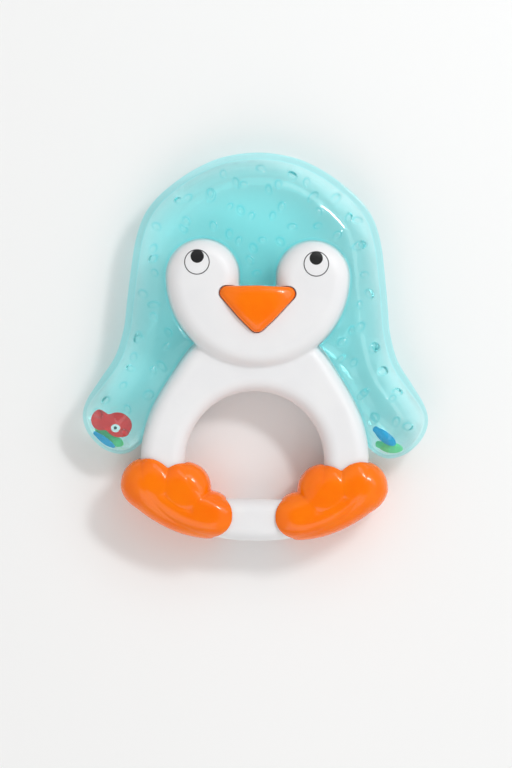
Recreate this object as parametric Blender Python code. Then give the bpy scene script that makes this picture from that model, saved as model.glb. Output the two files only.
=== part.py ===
"""Water-filled teething ring shaped as a penguin, lying on its back.

Axes: +X to the penguin's left flipper as seen from the front, +Y to the crown of the
head, +Z out of the face. The origin is under the middle of the toy, on the surface it
lies on. Everything below is drawn in millimetres and scaled to metres once.
"""
import math

import bmesh
import bpy
from mathutils import Matrix, Vector

MM = 0.001

# ---- driving dimensions, mm -------------------------------------------------
PLANE = 9.5            # height of the parting plane that all halves meet at
SPLIT = 0.15           # each half stops this far from the parting plane
GAP = 0.3              # clearance between neighbouring pieces

FACE_Y = 20.2          # centre of the round face
FACE_R = 26.8          # radius of the cheeks and chin
LOBE_R = 10.9          # radius of the two brow lobes, tangent inside the face circle
LOBE_X = FACE_R - LOBE_R
NOTCH_FLOOR = 17.2     # bottom of the notch between the brow lobes
FACE_FRONT = 10.5      # face height above the parting plane
FACE_REAR = PLANE      # the back of the head is flat on the table
FACE_EDGE = 4.0        # edge rounding of the head

BODY_HALF = 6.5        # half thickness of the ring and belly
BODY_EDGE = 3.5
HOLE_R = 20.2          # grip opening
HOLE_Y = -33.2
BAR_TOP = -44.3        # top edge of the lower bar
WALL = 2.0             # wall of the white mouldings

POUCH_HALF = 7.2       # half thickness of the water pouch
POUCH_EDGE = 5.8
FLANGE = 1.8           # visible weld flange round the pouch
FLANGE_IN = 2.5        # flange held between the white shells
FILM = 0.5             # film thickness in the flange, each skin
SKIN = 1.2             # skin thickness of the pouch

FOOT_HALF = PLANE      # feet also touch the table
FOOT_EDGE = 5.2

BEAK_LOW = 9.6         # underside of the beak over the parting plane
BEAK_TOP = 13.2
BEAK_STEM_R = 2.0

PEG_R = 1.4
BOSS_R = 2.8
BOSSES = [(LOBE_X, 21.5), (-LOBE_X, 21.5), (25.0, -24.0), (-25.0, -24.0), (0.0, -50.3)]

FLOAT_T = 2.0          # thickness of the floating fish

# ---- scene ------------------------------------------------------------------
for old in list(bpy.data.objects):
    bpy.data.objects.remove(old, do_unlink=True)
toy = bpy.data.collections.new("teething_ring")
tools = bpy.data.collections.new("teething_ring_cutters")
for group in (toy, tools):
    bpy.context.scene.collection.children.link(group)
frame = bpy.data.objects.new("teething_ring_frame", None)
toy.objects.link(frame)


def material(name, colour, rough, alpha=1.0, transmission=0.0):
    mat = bpy.data.materials.new(name)
    mat.use_nodes = True
    shader = mat.node_tree.nodes["Principled BSDF"]
    shader.inputs["Base Color"].default_value = (*colour, 1.0)
    shader.inputs["Roughness"].default_value = rough
    shader.inputs["Metallic"].default_value = 0.0
    shader.inputs["Alpha"].default_value = alpha
    shader.inputs["Transmission Weight"].default_value = transmission
    return mat


WHITE = material("white_moulding", (0.84, 0.84, 0.85), 0.35)
ORANGE = material("orange_moulding", (1.0, 0.24, 0.005), 0.18)
AQUA = material("aqua_eva", (0.25, 0.76, 0.75), 0.2, transmission=0.6)
WATER = material("water", (0.75, 0.95, 0.95), 0.02, transmission=1.0)
PLUG = material("aqua_plug", (0.2, 0.7, 0.7), 0.4)
RED = material("red_float", (0.6, 0.06, 0.05), 0.4)
BLUE = material("blue_float", (0.0, 0.27, 0.7), 0.4)
GREEN = material("green_float", (0.12, 0.62, 0.22), 0.4)


# ---- outlines, all counter-clockwise, in mm ---------------------------------
def arc(cx, cy, r, start, end, steps):
    """Points of an arc, in degrees, both ends included."""
    return [
        (cx + r * math.cos(math.radians(start + (end - start) * i / steps)),
         cy + r * math.sin(math.radians(start + (end - start) * i / steps)))
        for i in range(steps + 1)
    ]


def smooth(points, per_span):
    """A closed Catmull-Rom curve through the points."""
    out, n = [], len(points)
    for i in range(n):
        p = [Vector(points[(i + k - 1) % n]) for k in range(4)]
        for j in range(per_span):
            t = j / per_span
            q = 0.5 * (2 * p[1] + (p[2] - p[0]) * t
                       + (2 * p[0] - 5 * p[1] + 4 * p[2] - p[3]) * t * t
                       + (3 * p[1] - p[0] - 3 * p[2] + p[3]) * t * t * t)
            out.append((q.x, q.y))
    return out


def both_sides(half):
    """A closed outline from its right half, listed bottom to top, first and last at X = 0."""
    return half + [(-x, y) for x, y in reversed(half[1:-1])]


def grown(loop, by):
    """The loop moved outwards along its normals, mitred at corners."""
    out, n = [], len(loop)
    for i in range(n):
        a, b, c = (Vector(loop[(i + k) % n]) for k in (-1, 0, 1))
        n1 = Vector(((b - a).y, -(b - a).x)).normalized()
        n2 = Vector(((c - b).y, -(c - b).x)).normalized()
        m = (n1 + n2).normalized()
        q = b + m * (by / max(0.5, m.dot(n1)))
        out.append((q.x, q.y))
    return out


def face_outline(by=0.0):
    """Cheeks and chin on one circle, with two brow lobes and the notch between them."""
    side = LOBE_X - LOBE_R - by
    floor = NOTCH_FLOOR + by
    clockwise = [(side, floor)]
    clockwise += arc(LOBE_X, FACE_Y, LOBE_R + by, 180, 0, 10)
    clockwise += arc(0, FACE_Y, FACE_R + by, 0, -180, 24)[1:-1]
    clockwise += arc(-LOBE_X, FACE_Y, LOBE_R + by, 180, 0, 10)
    clockwise += [(-side, floor)]
    return clockwise[::-1]


def body_outline(by=0.0):
    """Belly and ring: narrow at the neck, round at the sides, flatter under the bar."""
    half = [(0, -56.4), (9.3, -55.7), (18.5, -53.3), (26.8, -48.0), (31.6, -41.0),
            (33.0, -33.5), (32.4, -26.5), (29.8, -18.0), (24.6, -8.8), (18.2, 0.2),
            (10.0, 4.6), (0, 6.0)]
    return grown(smooth(both_sides(half), 3), by)


def hole_outline(by=0.0):
    """Grip opening: a circle closed off by the lower bar."""
    loop = arc(0, HOLE_Y, HOLE_R, -22, 202, 20)
    loop += [(-15.2, -43.1), (-9.5, BAR_TOP), (0, BAR_TOP), (9.5, BAR_TOP), (15.2, -43.1)]
    return grown(loop, by)


def pouch_outline(by=0.0):
    """Head and flippers. The side towards the white mouldings is cut away later."""
    half = [(0, -3.0), (14, -6.0), (21.0, -12.5), (26.0, -20.5), (30.0, -25.5),
            (33.6, -29.3), (36.2, -31.3), (39.6, -31.9), (44.3, -30.3), (48.4, -26.2),
            (50.2, -21.3), (49.1, -16.4), (45.4, -10.4), (41.0, -3.4), (38.7, 4.6),
            (38.0, 11.4), (37.1, 20.0), (35.7, 30.2), (33.4, 37.4), (30.0, 42.4),
            (25.2, 46.8), (18.9, 51.2), (10.6, 54.9), (0, 56.4)]
    return grown(smooth(both_sides(half), 2), by)


def foot_outline(side, by=0.0):
    """Heel lobe, two toe lobes and a long round sole."""
    heel, toe, tip = (31.2, -40.2, 7.5), (20.0, -41.3, 7.5), (12.9, -48.9, 6.9)

    def meet(one, two):
        """The upper or inner crossing of two lobe circles, as an angle on each."""
        (x0, y0, r0), (x1, y1, r1) = one, two
        r0, r1 = r0 + by, r1 + by
        d = math.hypot(x1 - x0, y1 - y0)
        a = (r0 * r0 - r1 * r1 + d * d) / (2 * d)
        h = math.sqrt(max(0.0, r0 * r0 - a * a))
        ux, uy = (x1 - x0) / d, (y1 - y0) / d
        px, py = x0 + a * ux + h * uy, y0 + a * uy - h * ux
        return (math.degrees(math.atan2(py - y0, px - x0)),
                math.degrees(math.atan2(py - y1, px - x1)))

    h_end, t_start = meet(heel, toe)
    t_end, p_start = meet(toe, tip)
    h_end, t_start = h_end % 360, t_start % 360
    t_end, p_start = t_end % 360, p_start % 360
    loop = arc(heel[0], heel[1], heel[2] + by, -18, h_end, 9)
    loop += arc(toe[0], toe[1], toe[2] + by, t_start, t_end, 7)[1:]
    loop += arc(tip[0], tip[1], tip[2] + by, p_start, 262, 9)[1:]
    sole = [(17.5, -55.5), (23.0, -53.9), (28.6, -51.2), (33.6, -47.8), (37.0, -44.9)]
    for i, (x, y) in enumerate(sole):
        nx, ny = (0.12, -0.99) if i == 0 else (0.30 + 0.11 * i, -0.95 + 0.075 * i)
        loop.append((x + nx * by, y + ny * by))
    return loop if side > 0 else [(-x, y) for x, y in reversed(loop)]


def rounded_polygon(corners, radii, steps):
    """A convex polygon, counter-clockwise, with each corner filleted."""
    out, n = [], len(corners)
    for i in range(n):
        a, b, c = (Vector(corners[(i + k) % n]) for k in (-1, 0, 1))
        u, v = (a - b).normalized(), (c - b).normalized()
        half = math.acos(max(-1, min(1, u.dot(v)))) / 2
        centre = b + (u + v).normalized() * radii[i] / math.sin(half)
        t0 = b + u * radii[i] / math.tan(half) - centre
        t1 = b + v * radii[i] / math.tan(half) - centre
        a0, a1 = math.degrees(math.atan2(t0.y, t0.x)), math.degrees(math.atan2(t1.y, t1.x))
        while a1 < a0:
            a1 += 360
        out += arc(centre.x, centre.y, radii[i], a0, a1, steps)
    return out


def beak_outline(by=0.0):
    loop = rounded_polygon([(0, 2.2), (13.9, 17.1), (-13.9, 17.1)], [2.4, 2.2, 2.2], 6)
    return grown(loop, by)


def placed(points, x, y, degrees):
    c, s = math.cos(math.radians(degrees)), math.sin(math.radians(degrees))
    return [(x + c * px - s * py, y + s * px + c * py) for px, py in points]


def bean_fish():
    """Red fish: a round head and a smaller tail lobe, with a dip in its back."""
    return smooth([(5.6, -0.4), (4.8, 1.5), (2.8, 2.7), (1.1, 2.4), (-0.4, 2.6), (-2.3, 3.3),
                   (-4.6, 2.1), (-5.6, 0.2), (-5.0, -0.9), (-2.8, -1.9), (0, -2.9),
                   (2.5, -3.35), (4.8, -2.3)], 2)


def tailed_fish(length, width):
    """An oval body and a small forked tail, nose towards +X."""
    half = [(-0.9, 0.0), (-1.0, 0.66), (-0.62, 0.55), (-0.22, 0.84), (0.3, 1.0), (0.81, 0.62), (1.0, 0)]
    half = [(x * length / 2, y * width / 2) for x, y in half]
    loop = [(x, y) for x, y in half[::-1]] + [(x, -y) for x, y in half[1:-1]]
    return smooth(loop, 2)


# ---- solids -----------------------------------------------------------------
def curve_plate(name, loops, low, high, edge, fine):
    """A filled flat outline with thickness and, if edge is set, rounded rims.
    The first loop is the outline, and the others are holes in it."""
    curve = bpy.data.curves.new(name, "CURVE")
    curve.dimensions = "2D"
    curve.fill_mode = "BOTH"
    curve.extrude = ((high - low) / 2 - edge) * MM
    curve.bevel_depth = edge * MM
    curve.bevel_resolution = fine
    curve.offset = -edge * MM
    for k, loop in enumerate(loops):
        points = loop if k == 0 else loop[::-1]
        spline = curve.splines.new("POLY")
        spline.points.add(len(points) - 1)
        for point, (x, y) in zip(spline.points, points):
            point.co = (x * MM, y * MM, 0, 1)
        spline.use_cyclic_u = True
    obj = bpy.data.objects.new(name, curve)
    obj.location.z = (low + high) / 2 * MM
    return obj


def as_mesh(obj, collection, mat=None, helper=False):
    """The curve's evaluated shape as a welded mesh object of the same name and place."""
    name = obj.name
    bpy.context.scene.collection.objects.link(obj)
    bpy.context.view_layer.update()
    graph = bpy.context.evaluated_depsgraph_get()
    mesh = bpy.data.meshes.new_from_object(obj.evaluated_get(graph))
    place = obj.matrix_world.copy()
    bpy.data.objects.remove(obj, do_unlink=True)
    bm = bmesh.new()
    bm.from_mesh(mesh)
    bmesh.ops.remove_doubles(bm, verts=bm.verts, dist=2e-6)
    bmesh.ops.recalc_face_normals(bm, faces=bm.faces)
    bm.to_mesh(mesh)
    bm.free()
    mesh.name = name
    made = bpy.data.objects.new(name, mesh)
    made.matrix_world = place
    finish(made, collection, mat, helper)
    return made


def finish(obj, collection, mat, helper):
    collection.objects.link(obj)
    obj.parent = frame
    if mat is not None:
        obj.data.materials.clear()
        obj.data.materials.append(mat)
    if helper:
        obj.hide_render = True
        obj.display_type = "WIRE"
    else:
        obj.data.shade_smooth()
        obj.data.set_sharp_from_angle(angle=math.radians(40))


def plate(name, loops, low, high, edge=0.0, fine=1, mat=None, helper=False):
    obj = curve_plate(name, loops, low, high, edge, fine)
    return as_mesh(obj, tools if helper else toy, mat, helper)


def rods(name, places, radius, low, high, sides=12, mat=None, helper=True, axis="Z"):
    """Cylinders as one helper mesh. A place is the axis's (x, y), or (x, z) for axis Y."""
    mesh = bpy.data.meshes.new(name)
    bm = bmesh.new()
    for u, v in places:
        turn = Matrix.Rotation(math.pi / sides, 4, "Z")
        if axis == "Z":
            at = Matrix.Translation(Vector((u, v, (low + high) / 2)) * MM) @ turn
        else:
            at = (Matrix.Translation(Vector((u, (low + high) / 2, v)) * MM)
                  @ Matrix.Rotation(math.pi / 2, 4, "X") @ turn)
        bmesh.ops.create_cone(bm, cap_ends=True, segments=sides, radius1=radius * MM,
                              radius2=radius * MM, depth=(high - low) * MM, matrix=at)
    bm.to_mesh(mesh)
    bm.free()
    obj = bpy.data.objects.new(name, mesh)
    finish(obj, tools if helper else toy, mat, helper)
    return obj


def block(name, low, high):
    """A box cutter between two corners."""
    mesh = bpy.data.meshes.new(name)
    bm = bmesh.new()
    size = [(b - a) * MM for a, b in zip(low, high)]
    mid = Vector([(a + b) / 2 * MM for a, b in zip(low, high)])
    bmesh.ops.create_cube(bm, size=1.0, matrix=Matrix.Translation(mid) @ Matrix.Diagonal((*size, 1)))
    bm.to_mesh(mesh)
    bm.free()
    obj = bpy.data.objects.new(name, mesh)
    finish(obj, tools, None, True)
    return obj


def cut(obj, *others):
    for other in others:
        change(obj, other, "DIFFERENCE")


def join(obj, *others):
    for other in others:
        change(obj, other, "UNION")


def change(obj, other, operation):
    mod = obj.modifiers.new(f"{operation.lower()}_{other.name}"[:60], "BOOLEAN")
    mod.operation = operation
    mod.solver = "EXACT"
    mod.object = other


P = PLANE
below = block("keep_front", (-80, -80, -40), (80, 80, P + SPLIT))
above = block("keep_rear", (-80, -80, P - SPLIT), (80, 80, 60))

# Columns that the pouch is cut round, at three offsets.
def column(name, by):
    base = plate(name, [body_outline(by)], P - 20, P + 20, helper=True)
    join(base, plate(name + "_head", [face_outline(by)], P - 21, P + 21, helper=True))
    return base


column_clear = column("column_clear", GAP)
column_skin = column("column_skin", GAP + SKIN)
column_water = column("column_water", GAP + SKIN + GAP)
column_flange = column("column_flange", -FLANGE_IN)
column_pocket = column("column_pocket", -FLANGE_IN - GAP)

# Fill port: a short tube that the two skins form at the notch, with its plug inside the head.
PORT_Y = (12.6, NOTCH_FLOOR + 2.4)
port_tube = rods("port_tube", [(0, P)], 2.3, PORT_Y[0], PORT_Y[1], 12, axis="Y")
port_bore = rods("port_bore", [(0, P)], 1.5, PORT_Y[0] - 1, PORT_Y[1] + 1.5, 12, axis="Y")
port_room = rods("port_room", [(0, P)], 2.65, PORT_Y[0] - 0.4, PORT_Y[1] + 1, 12, axis="Y")

# Room for the pouch's inner flange between the white shells.
pocket = plate("flange_pocket", [pouch_outline(GAP)], P - SPLIT - FILM - GAP, P + SPLIT + FILM + GAP,
               helper=True)
cut(pocket, column_pocket)

# ---- white shells -----------------------------------------------------------
ring_room = plate("ring_cavity", [body_outline(-WALL), hole_outline(WALL)],
                  P - BODY_HALF + WALL, P + BODY_HALF - WALL, 1.6, 0, helper=True)
boss_posts = rods("boss_posts", BOSSES, BOSS_R, P - BODY_HALF + 1.0, P + BODY_HALF - 1.0)
head_posts = rods("head_posts", BOSSES[:2], BOSS_R, P - FACE_REAR + 1.2, P + FACE_FRONT - 1.2)
sockets = rods("peg_sockets", BOSSES, PEG_R + GAP, P - 2, P + 4.0)
pegs = rods("pegs", BOSSES, PEG_R, P - 4.5, P + 3.4)


def shell(name, head_height, keep):
    obj = plate(name, [body_outline(), hole_outline()], P - BODY_HALF, P + BODY_HALF,
                BODY_EDGE, 1, WHITE)
    head = plate(name + "_head", [face_outline()], P - head_height, P + head_height,
                 FACE_EDGE, 1, helper=True)
    head_room = plate(name + "_head_cavity", [face_outline(-WALL - 0.2)],
                      P - head_height + WALL, P + head_height - WALL, 2.4, 0, helper=True)
    join(obj, head)
    cut(obj, ring_room, head_room)
    join(obj, boss_posts, head_posts)
    cut(obj, pocket, port_room, keep)
    return obj


front_shell = shell("front_shell", FACE_FRONT, below)
cut(front_shell, sockets,
    plate("beak_recess", [beak_outline(GAP)], P + BEAK_LOW - GAP, P + 30, helper=True),
    rods("beak_stem_hole", [(0, 10.8)], BEAK_STEM_R + GAP, P + 6, P + 14))
rear_shell = shell("rear_shell", FACE_REAR, above)
join(rear_shell, pegs)

# ---- beak -------------------------------------------------------------------
beak = plate("beak", [beak_outline()], P + BEAK_LOW, P + BEAK_TOP, 1.5, 1, ORANGE)
join(beak, rods("beak_stem", [(0, 10.8)], BEAK_STEM_R, P + 5.2, P + BEAK_LOW + 1))

# ---- feet -------------------------------------------------------------------
ring_clear = plate("ring_clear", [body_outline(GAP), hole_outline(-GAP)],
                   P - BODY_HALF - GAP, P + BODY_HALF + GAP, BODY_EDGE, 1, helper=True)
for side, word in ((1, "right"), (-1, "left")):
    pins = [(side * 15.4, -39.9), (side * 35.6, -41.2)]
    holes = rods(f"{word}_foot_sockets", pins, 1.1 + GAP, P - 2, P + 4.3)
    studs = rods(f"{word}_foot_pegs", pins, 1.1, P - 3, P + 3.6)
    for half, keep in (("front", below), ("rear", above)):
        foot = plate(f"{word}_foot_{half}", [foot_outline(side)], P - FOOT_HALF, P + FOOT_HALF,
                     FOOT_EDGE, 2, ORANGE)
        cut(foot, ring_clear, keep)
        if half == "front":
            cut(foot, holes)
        else:
            join(foot, studs)

# ---- water pouch ------------------------------------------------------------
inner = plate("pouch_inside", [pouch_outline(-FLANGE - SKIN)], P - POUCH_HALF + SKIN,
              P + POUCH_HALF - SKIN, POUCH_EDGE - SKIN, 1, helper=True)
cut(inner, column_skin)
flange = plate("weld_flange", [pouch_outline()], P - SPLIT - FILM, P + SPLIT + FILM, helper=True)
cut(flange, column_flange)
for half, keep in (("front", below), ("rear", above)):
    skin = plate(f"pouch_{half}_skin", [pouch_outline(-FLANGE)], P - POUCH_HALF, P + POUCH_HALF,
                 POUCH_EDGE, 1, AQUA)
    cut(skin, column_clear)
    join(skin, flange, port_tube)
    cut(skin, inner, port_bore, keep)

plug = rods("fill_plug", [(0, P)], 1.2, PORT_Y[0] - 0.6, PORT_Y[1] - 0.4, 12, PLUG, False, "Y")
join(plug, rods("fill_plug_head", [(0, P)], 2.1, PORT_Y[0] - 1.7, PORT_Y[0] - 0.4, 12, axis="Y"))

# Water: left open across the flippers at the height the floats travel at.
water = plate("water_fill", [pouch_outline(-FLANGE - SKIN - GAP)], P - POUCH_HALF + SKIN + GAP,
              P + POUCH_HALF - SKIN - GAP, POUCH_EDGE - SKIN - GAP, 1, WATER)
cut(water, column_water,
    block("left_float_room", (-60, -40, P - 4.4), (-15, 4.5, P + 4.4)),
    block("right_float_room", (15, -40, P - 3.2), (60, 4.5, P + 3.8)),
    rods("port_reach", [(0, P)], 2.7, 12, PORT_Y[1] + 0.6, 12, axis="Y"))

# ---- floats -----------------------------------------------------------------
FLOATS = [
    ("red_fish", bean_fish(), (-40.0, -22.6, -6), P + 3.2, RED),
    ("left_blue_fish", tailed_fish(7.4, 3.0), (-41.9, -25.7, -36), P, BLUE),
    ("left_green_fish", tailed_fish(8.4, 4.6), (-40.1, -24.1, -36), P - 3.2, GREEN),
    ("right_blue_fish", tailed_fish(7.8, 3.0), (37.9, -25.2, -38), P + 2.2, BLUE),
    ("right_green_fish", tailed_fish(8.4, 4.6), (38.9, -25.3, -20), P - 1.6, GREEN),
]
for name, outline, (x, y, turn), level, mat in FLOATS:
    plate(name, [placed(outline, x, y, turn)], level - FLOAT_T / 2, level + FLOAT_T / 2,
          0.4, 0, mat)
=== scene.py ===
"""Looks of a penguin-shaped, water-filled teething ring that lies on its back.

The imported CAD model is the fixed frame. The visible pieces are built here as fine meshes in the
same frame: +X to the viewer's right, +Y to the crown, +Z out of the face. Shapes are worked out in
millimetres and scaled to metres once, in mesh_object().
"""
import math

import bmesh
import bpy
import numpy as np
from mathutils import Matrix, Vector, geometry
from mathutils.bvhtree import BVHTree


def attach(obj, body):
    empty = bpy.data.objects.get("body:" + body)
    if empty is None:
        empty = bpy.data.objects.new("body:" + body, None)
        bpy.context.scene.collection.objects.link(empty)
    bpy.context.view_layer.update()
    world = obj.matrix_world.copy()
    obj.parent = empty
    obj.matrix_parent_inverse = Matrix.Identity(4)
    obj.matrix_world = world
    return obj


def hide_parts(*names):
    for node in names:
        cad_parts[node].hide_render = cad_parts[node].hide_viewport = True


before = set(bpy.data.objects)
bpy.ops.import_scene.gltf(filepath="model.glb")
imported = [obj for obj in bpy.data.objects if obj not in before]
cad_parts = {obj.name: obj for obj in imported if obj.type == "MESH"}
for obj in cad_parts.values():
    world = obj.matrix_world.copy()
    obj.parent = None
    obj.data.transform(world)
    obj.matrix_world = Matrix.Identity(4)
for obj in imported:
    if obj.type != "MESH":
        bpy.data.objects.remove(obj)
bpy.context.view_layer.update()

MM = 0.001
P = 9.5                # parting plane
FACE_Y, FACE_R, LOBE_R = 20.2, 26.5, 10.6
LOBE_X = FACE_R - LOBE_R
NOTCH_FLOOR = 17.2
FACE_TOP, FACE_BACK = 10.5, 9.5
RING_HALF = 6.5
HOLE_R, HOLE_Y, BAR_TOP = 20.2, -33.2, -44.3
FLANGE, FLANGE_T = 1.75, 0.7
POUCH_TOP, SHOULDER = 7.0, 9.0


# ---- outlines in plan, counter-clockwise, mm ------------------------------------
def arc(cx, cy, r, start, end, step=0.5):
    n = max(2, int(abs(math.radians(end - start)) * r / step))
    t = np.radians(np.linspace(start, end, n + 1))
    return np.stack([cx + r * np.cos(t), cy + r * np.sin(t)], 1)


def smooth(points, per_span):
    """A closed Catmull-Rom curve through the points."""
    p1 = np.asarray(points, float)
    p0, p2, p3 = np.roll(p1, 1, 0), np.roll(p1, -1, 0), np.roll(p1, -2, 0)
    t = (np.arange(per_span) / per_span)[None, :, None]
    q = 0.5 * (2 * p1[:, None] + (p2 - p0)[:, None] * t
               + (2 * p0 - 5 * p1 + 4 * p2 - p3)[:, None] * t ** 2
               + (3 * p1 - p0 - 3 * p2 + p3)[:, None] * t ** 3)
    return q.reshape(-1, 2)


def both_sides(half):
    return half + [(-x, y) for x, y in reversed(half[1:-1])]


def even(loop, step, soften=0):
    """The loop with points at an even distance, its corners rounded by some averaging."""
    loop = np.asarray(loop, float)
    closed = np.vstack([loop, loop[:1]])
    length = np.concatenate([[0], np.cumsum(np.hypot(*np.diff(closed, axis=0).T))])
    n = int(length[-1] / step)
    s = np.arange(n) * length[-1] / n
    out = np.stack([np.interp(s, length, closed[:, k]) for k in (0, 1)], 1)
    for _ in range(soften):
        out = 0.25 * np.roll(out, 1, 0) + 0.5 * out + 0.25 * np.roll(out, -1, 0)
    return out


def normals(loop):
    """Outward normals of a counter-clockwise loop."""
    t = np.roll(loop, -1, 0) - np.roll(loop, 1, 0)
    n = np.stack([t[:, 1], -t[:, 0]], 1)
    return n / np.linalg.norm(n, axis=1, keepdims=True)


BODY = even(smooth(both_sides([
    (0, -56.4), (9.3, -55.7), (18.5, -53.3), (26.8, -48.0), (31.6, -41.0), (33.0, -33.5),
    (32.4, -26.5), (29.8, -18.0), (24.6, -8.8), (18.2, 0.2), (10.0, 4.6), (0, 6.0)]), 24), 0.5)
HOLE = even(np.vstack([
    arc(0, HOLE_Y, HOLE_R, -22, 202),
    smooth([(-18.7, -40.8), (-15.2, -43.1), (-9.5, BAR_TOP), (0, BAR_TOP), (9.5, BAR_TOP),
            (15.2, -43.1), (18.7, -40.8)], 8)[8:40]]), 0.5, 6)
FACE = even(np.vstack([
    arc(0, FACE_Y, FACE_R, -180, 0)[:-1],
    arc(LOBE_X, FACE_Y, LOBE_R, 0, 180),
    [(LOBE_X - LOBE_R, NOTCH_FLOOR), (-LOBE_X + LOBE_R, NOTCH_FLOOR)],
    arc(-LOBE_X, FACE_Y, LOBE_R, 0, 180)[:-1]]), 0.4, 2)
POUCH = even(smooth(both_sides([
    (0, -3.0), (14, -6.0), (21.0, -12.5), (26.0, -20.5), (30.0, -25.5), (33.6, -29.3),
    (36.2, -31.3), (39.6, -31.9), (44.3, -30.3), (48.4, -26.2), (50.2, -21.3), (49.1, -16.4),
    (45.4, -10.4), (41.0, -3.4), (38.7, 4.6), (38.0, 11.4), (37.1, 20.0), (35.7, 30.2),
    (33.4, 37.4), (30.0, 42.4), (25.2, 46.8), (18.9, 51.2), (10.6, 54.9), (0, 56.4)]), 16), 0.5, 3)
HEEL, TOE, TIP = (31.2, -40.2, 7.5), (20.0, -41.3, 7.5), (12.9, -48.9, 6.9)
SOLE = even(smooth([
    (6.3, -50.0), (7.4, -53.0), (10.0, -55.0), (13.6, -55.8), (17.8, -55.4), (23.0, -53.9),
    (28.6, -51.2), (33.6, -47.8), (37.2, -44.4), (38.6, -40.6), (36.0, -38.5), (31.2, -39.0),
    (24.0, -43.5), (16.0, -47.5), (9.0, -48.0)], 12), 0.4)
BEAK_CORNERS = [((0, 2.85), 2.4), ((13.7, 17.3), 2.0), ((-13.7, 17.3), 2.0)]


def beak_outline():
    out = []
    for i, (b, r) in enumerate(BEAK_CORNERS):
        a, c = Vector(BEAK_CORNERS[i - 1][0]), Vector(BEAK_CORNERS[(i + 1) % 3][0])
        b = Vector(b)
        u, v = (a - b).normalized(), (c - b).normalized()
        half = math.acos(u.dot(v)) / 2
        centre = b + (u + v).normalized() * r / math.sin(half)
        t0, t1 = b + u * r / math.tan(half) - centre, b + v * r / math.tan(half) - centre
        a0, a1 = math.degrees(math.atan2(t0.y, t0.x)), math.degrees(math.atan2(t1.y, t1.x))
        out.append(arc(centre.x, centre.y, r, a0, a1 + 360 if a1 < a0 else a1, 0.2))
    loop = even(np.vstack(out), 0.25, 4)
    # the sides swell a little
    centre = np.array([0, 11.6])
    away = loop - centre
    swell = np.cos(1.5 * (np.arctan2(away[:, 1], away[:, 0]) - math.pi / 2)) ** 2
    return loop + away / np.linalg.norm(away, axis=1, keepdims=True) * 0.2 * swell[:, None]


BEAK = beak_outline()


# ---- distance fields --------------------------------------------------------------
def signed(x, y, loop):
    """Distance to a closed outline, negative inside it."""
    a = np.asarray(loop, float)
    e = np.roll(a, -1, 0) - a
    ee = np.maximum((e ** 2).sum(1), 1e-12)
    ey = np.where(np.abs(e[:, 1]) < 1e-12, 1e-12, e[:, 1])
    fx, fy = np.ravel(x).astype(float), np.ravel(y).astype(float)
    out = np.empty(fx.size)
    for s in range(0, fx.size, 4096):
        dx = fx[s:s + 4096, None] - a[None, :, 0]
        dy = fy[s:s + 4096, None] - a[None, :, 1]
        t = np.clip((dx * e[:, 0] + dy * e[:, 1]) / ee, 0, 1)
        d = np.sqrt(((dx - t * e[:, 0]) ** 2 + (dy - t * e[:, 1]) ** 2).min(1))
        hit = ((dy >= 0) != (dy - e[:, 1] >= 0)) & (dx < dy * e[:, 0] / ey)
        out[s:s + 4096] = np.where(hit.sum(1) % 2, -d, d)
    return out.reshape(np.shape(x))


class Plan:
    """An outline's signed distance, sampled once and read back as a smooth surface."""

    def __init__(self, loop, pad=4.0, step=0.25, soften=2, field=None):
        loop = np.asarray(loop)
        self.step = step
        self.lo = loop.min(0) - pad
        n = np.ceil((loop.max(0) + pad - self.lo) / step).astype(int) + 1
        x = self.lo[0] + step * np.arange(n[0])
        y = self.lo[1] + step * np.arange(n[1])
        grid = np.meshgrid(x, y, indexing="ij")
        g = field(*grid) if field else signed(*grid, loop)
        for _ in range(soften):
            for k in (0, 1):
                p = np.concatenate([g.take([0], k), g, g.take([-1], k)], k)
                m = g.shape[k]
                g = 0.25 * p.take(range(m), k) + 0.5 * g + 0.25 * p.take(range(2, m + 2), k)
        self.g = g

    def __call__(self, x, y):
        x, y = np.broadcast_arrays(x, y)
        u = np.clip((x - self.lo[0]) / self.step, 1, self.g.shape[0] - 2.001)
        v = np.clip((y - self.lo[1]) / self.step, 1, self.g.shape[1] - 2.001)
        i, j = np.floor(u).astype(int), np.floor(v).astype(int)
        i, j = np.minimum(i, self.g.shape[0] - 3), np.minimum(j, self.g.shape[1] - 3)

        def weights(f):
            return (-0.5 * f + f ** 2 - 0.5 * f ** 3, 1 - 2.5 * f ** 2 + 1.5 * f ** 3,
                    0.5 * f + 2 * f ** 2 - 1.5 * f ** 3, -0.5 * f ** 2 + 0.5 * f ** 3)

        wu, wv = weights(u - i), weights(v - j)
        out = 0
        for a in range(4):
            for b in range(4):
                out = out + wu[a] * wv[b] * self.g[i + a - 1, j + b - 1]
        return out


def smin(a, b, k):
    h = np.maximum(k - np.abs(a - b), 0) / k
    return np.minimum(a, b) - h * h * k / 4


def smax(a, b, k):
    return -smin(-a, -b, k)


def slab(d, z, half, r):
    """A plate of a plan distance d with rims rounded at radius r."""
    qd, qz = d + r, np.abs(z) - half + r
    return (np.minimum(np.maximum(qd, qz), 0)
            + np.sqrt(np.maximum(qd, 0) ** 2 + np.maximum(qz, 0) ** 2) - r)


def ball(x, y, z, c, r):
    """An ellipsoid, as an approximate distance."""
    q = np.sqrt(((x - c[0]) / r[0]) ** 2 + ((y - c[1]) / r[1]) ** 2 + ((z - c[2]) / r[2]) ** 2)
    g = np.sqrt(((x - c[0]) / r[0] ** 2) ** 2 + ((y - c[1]) / r[1] ** 2) ** 2
                + ((z - c[2]) / r[2] ** 2) ** 2)
    return q * (q - 1) / np.maximum(g, 1e-6)


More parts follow.
